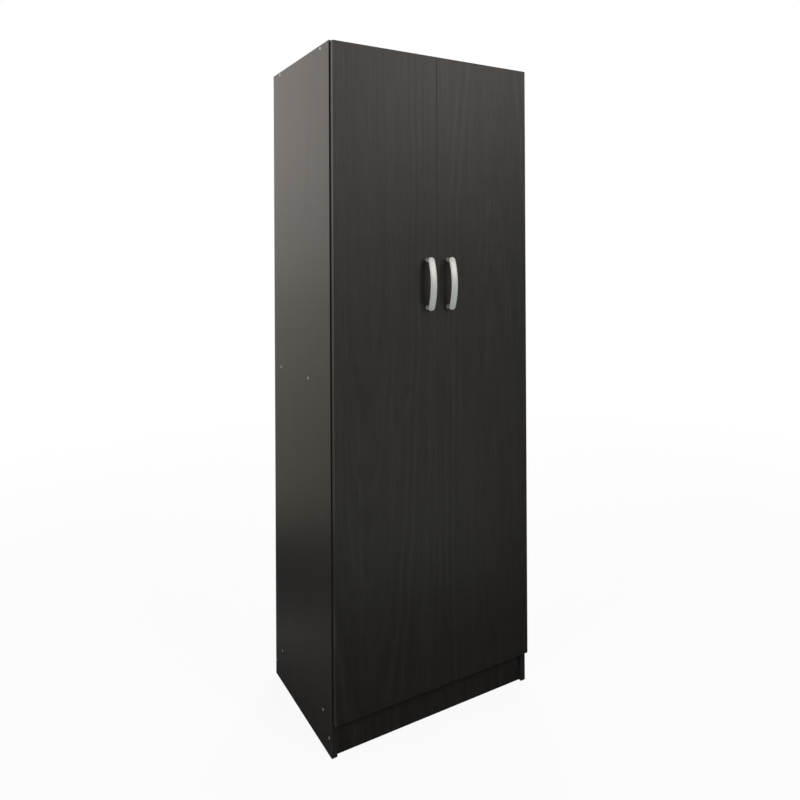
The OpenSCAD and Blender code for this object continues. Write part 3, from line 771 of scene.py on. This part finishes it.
bpy.ops.object.select_all(action="DESELECT")
bpy.ops.mesh.primitive_plane_add(size=FLOOR_WIDTH, location=(0, 0, 0))
floor = bpy.context.object
floor.name = "floor"
print("floor:", tuple(round(v, 2) for v in floor.dimensions))

# %% [markdown]
# ## What the boards mirror
#
# Satin boards are half mirrors: seen aslant, the side panel shows what stands behind it, and the
# doors what lies in front. In the photograph both are bright above the height of the camera and dim
# near the floor. So the floor has painted shade and painted light that only mirror rays see: it glows
# dim close to the wardrobe, as painted shade of the wardrobe, and paler with distance, more so behind
# than in front. All of this depends on the place on the floor, never on where the camera is.

# %% What mirror rays see
# A dark screen at the front right, in this direction from the wardrobe: mirror rays see the room dimmer
# there, and painted shade on the floor
DARK_SCREEN = (0.866, -0.5, 0)


def screened(tree, way):
    """What is left of the light in a direction: a little more than all of it in the open, and a
    tenth before the dark screen."""
    towards = add(tree, "VectorMath", {"operation": "DOT_PRODUCT"}, {0: way, 1: DARK_SCREEN})
    left_over = add(tree, "MapRange", {"interpolation_type": "SMOOTHSTEP"},
                    {"Value": towards.outputs["Value"], "From Min": 0.885, "From Max": 0.95,
                     "To Min": 1.23, "To Max": 0.1})
    return left_over.outputs["Result"]


def mirror_ray(tree, rays):
    """1 for a ray that comes from a mirror or through glass, and 0 for any other."""
    either = add(tree, "Math", {"operation": "MAXIMUM"},
                 {0: rays.outputs["Is Glossy Ray"], 1: rays.outputs["Is Transmission Ray"]})
    return either.outputs["Value"]


print("the dark screen stands at", round(math.degrees(math.atan2(DARK_SCREEN[0], -DARK_SCREEN[1]))),
      "degrees to the right of the front")

# %% The floor's finish
floor_paint, tree = finish("pale_studio_floor")
rays = add(tree, "LightPath")
where = add(tree, "TexCoord")
away = add(tree, "VectorMath", {"operation": "LENGTH"}, {0: where.outputs["Object"]})
axes = add(tree, "SeparateXYZ", None, {"Vector": where.outputs["Object"]})
# A distance of r metres lies at r / (r + 2) on the ramps, so 2 m is the middle and 1 the horizon
beyond = add(tree, "Math", {"operation": "ADD"}, {0: away.outputs["Value"], 1: 2.0})
reach = add(tree, "Math", {"operation": "DIVIDE"}, {0: away.outputs["Value"], 1: beyond.outputs["Value"]})
# Painted shade and painted light of the floor as only mirror rays see it: dim near the wardrobe, paler
# further off
painted_front_floor = add(tree, "ValToRGB", {"stops": [(0.13, "#282c29"), (0.23, "#2d312d"), (0.32, "#484d48"),
                                               (0.41, "#898e89"), (0.50, "#939691"), (0.60, "#8d8f8b"),
                                               (0.75, "#8a8b88"), (1.0, "#838380")]},
                  {"Fac": reach.outputs["Value"]})
painted_rear_floor = add(tree, "ValToRGB", {"stops": [(0.13, "#383633"), (0.18, "#4b4945"), (0.23, "#65615b"),
                                              (0.30, "#464340"), (0.39, "#403e3a"), (0.50, "#8f8a81"),
                                              (0.60, "#9b958c"), (0.70, "#a69f95"), (0.80, "#b8b1a6"),
                                              (0.91, "#c3bbb0"), (1.0, "#e0d8cc")]},
                 {"Fac": reach.outputs["Value"]})
behind = add(tree, "MapRange", {"interpolation_type": "SMOOTHSTEP"},
             {"Value": axes.outputs["Y"], "From Min": -0.6, "From Max": 0.2})
flat_way = add(tree, "VectorMath", {"operation": "NORMALIZE"}, {0: where.outputs["Object"]})
# The front floor's painted image gets more painted shade towards the dark screen
painted_front_before_screen = add(tree, "VectorMath", {"operation": "SCALE"},
                    {0: painted_front_floor.outputs["Color"],
                     "Scale": screened(tree, flat_way.outputs["Vector"])})
painted_floor_in_mirrors = add(tree, "Mix", {"data_type": "RGBA"},
                 {"Factor": behind.outputs["Result"], 6: painted_front_before_screen.outputs["Vector"],
                  7: painted_rear_floor.outputs["Color"]})
# The camera sees plain white, with a little of the paint near the wardrobe
shown_white = add(tree, "MapRange", {"interpolation_type": "SMOOTHSTEP"},
                  {"Value": away.outputs["Value"], "From Min": 0.8, "From Max": 4.0,
                   "To Min": 0.92, "To Max": 1.0})
to_camera = add(tree, "Math", {"operation": "MULTIPLY"}, {0: rays.outputs["Is Camera Ray"],
                                                          1: shown_white.outputs["Result"]})
seen = add(tree, "Math", {"operation": "MAXIMUM"}, {0: to_camera.outputs["Value"],
                                                    1: mirror_ray(tree, rays)})
tone = add(tree, "Mix", {"data_type": "RGBA"}, {"Factor": rays.outputs["Is Camera Ray"],
                                                6: linear("#cdccc9"), 7: linear("#fbfbfa")})
paint = add(tree, "BsdfDiffuse", None, {"Color": tone.outputs[2]})
# For mirror rays the floor glows with its painted shade and painted light, and for the camera it is white
bare = add(tree, "Mix", {"data_type": "RGBA"}, {"Factor": rays.outputs["Is Camera Ray"],
                                                6: painted_floor_in_mirrors.outputs[2], 7: (1, 1, 1, 1)})
white = add(tree, "Emission", None, {"Color": bare.outputs[2], "Strength": 1.0})
shown = add(tree, "MixShader", None, {"Fac": seen.outputs["Value"], 1: paint.outputs["BSDF"],
                                      2: white.outputs["Emission"]})
add(tree, "OutputMaterial", None, {"Surface": shown.outputs["Shader"]})
wear(floor, floor_paint)
print("floor finish:", floor_paint.name)

# %% [markdown]
# ## The room
#
# The world gives the boards an even, dim light from all round, and shows the camera plain white.
# Mirror rays see more: a white room behind, a dimmer one in front, a pale screen high in front whose
# glow lies on the upper doors, a tall one at the left for the rims and posts of the handles, and the
# dark screen that keeps light off the doors' right edge. They hang on the direction in the room, so
# they stay where they are when the camera moves.

# %% Room
world = bpy.data.worlds.new("studio")
bpy.context.scene.world = world
world.use_nodes = True
tree = world.node_tree
tree.nodes.clear()
direction = add(tree, "TexCoord")
parts = add(tree, "SeparateXYZ", None, {"Vector": direction.outputs["Generated"]})
rays = add(tree, "LightPath")
# The walls are dimmer in front than behind, and paler above the horizon than at it
behind = add(tree, "MapRange", {"interpolation_type": "SMOOTHSTEP"},
             {"Value": parts.outputs["Y"], "From Min": -0.35, "From Max": 0.35,
              "To Min": 0.25, "To Max": 0.792})
height = add(tree, "MapRange", {"interpolation_type": "SMOOTHSTEP"},
             {"Value": parts.outputs["Z"], "From Min": 0.0, "From Max": 0.15,
              "To Min": 0.85, "To Max": 1.17})
reflected = add(tree, "Math", {"operation": "MULTIPLY"},
                {0: behind.outputs["Result"], 1: height.outputs["Result"]})
# The pale screen, high in front and a little to the right
HIGH_SCREEN = (0.5049, -0.7775, 0.3746)
screen = add(tree, "VectorMath", {"operation": "DOT_PRODUCT"},
             {0: direction.outputs["Generated"], 1: HIGH_SCREEN})
glow_level = add(tree, "MapRange", {"interpolation_type": "SMOOTHSTEP"},
                 {"Value": screen.outputs["Value"], "From Min": 0.94, "From Max": 0.985,
                  "To Min": 0.0, "To Max": 1.55})
# The tall screen at the left
side_level = add(tree, "MapRange", {"interpolation_type": "SMOOTHSTEP"},
                 {"Value": parts.outputs["X"], "From Min": -0.72, "From Max": -0.92,
                  "To Min": 0.0, "To Max": 0.8})
screens = add(tree, "Math", {"operation": "ADD"}, {0: glow_level.outputs["Result"],
                                                   1: side_level.outputs["Result"]})
open_level = add(tree, "Math", {"operation": "ADD"}, {0: reflected.outputs["Value"],
                                                      1: screens.outputs["Value"]})
mirror_level = add(tree, "Math", {"operation": "MULTIPLY"},
                   {0: open_level.outputs["Value"], 1: screened(tree, direction.outputs["Generated"])})
mirrored = mirror_ray(tree, rays)
# AMBIENT is the even light on the boards, where 1 would show a colour as it is written
AMBIENT = 0.28
lit = add(tree, "Mix", {"data_type": "FLOAT"}, {"Factor": mirrored, 2: AMBIENT,
                                                3: mirror_level.outputs["Value"]})
level = add(tree, "Mix", {"data_type": "FLOAT"}, {"Factor": rays.outputs["Is Camera Ray"],
                                                  2: lit.outputs[0], 3: 1.0})
tint = add(tree, "Mix", {"data_type": "RGBA"}, {"Factor": mirrored, 6: (1, 1, 1, 1),
                                                7: linear("#fff7f1")})
glow = add(tree, "Background", None, {"Color": tint.outputs[2], "Strength": level.outputs[0]})
add(tree, "OutputWorld", None, {"Surface": glow.outputs["Background"]})
print("the room is ready")

# %% [markdown]
# ## The lamps
#
# Three softboxes add what the room leaves out. The key lamp hangs close in front of the upper doors,
# so its light fades down the doors and over their sides as in the photograph. One lights the back
# and one the left side panel. They only shine on the colour of a surface: mirror rays don't see
# them, because the screens in the room already stand for what a mirror shows.

# %% Lamps
def softbox(name, place, target, width, height, level):
    """A rectangular lamp that looks at a target. level is the brightness that it gives a white
    board there, where 1 shows a colour as it is written."""
    lamp = bpy.data.objects.new(name, bpy.data.lights.new(name, "AREA"))
    bpy.context.scene.collection.objects.link(lamp)
    aim = Vector(target) - Vector(place)
    lamp.location = place
    lamp.rotation_euler = aim.to_track_quat("-Z", "Y").to_euler()
    lamp.data.shape = "RECTANGLE"
    lamp.data.size, lamp.data.size_y = width, height
    # A flat lamp of P watts shines with P / (pi * area), and lights a board at distance d, square
    # on, with that times area / d^2. A white board then shows 1 / pi of what falls on it.
    lamp.data.energy = level * math.pi * math.pi * aim.length ** 2
    lamp.visible_camera = False
    lamp.visible_glossy = False
    return lamp


key = softbox("key_softbox", (0.16, -1.55, 1.5), (0.02, -0.21, 1.42), 0.35, 0.8, 0.7)
back = softbox("back_softbox", (1.3, 2.3, 1.9), (0.1, 0.25, 1.0), 1.2, 1.2, 0.55)
left = softbox("left_softbox", (-2.6, -1.0, 1.5), (-0.3, -0.1, 1.1), 0.8, 1.4, 0.35)
print("lamps in watts:", [round(lamp.data.energy, 1) for lamp in (key, back, left)])

# %% [markdown]
# ## Output
#
# Standard view keeps colours as they are written.

# %% Output
scene = bpy.context.scene
scene.view_settings.view_transform = "Standard"
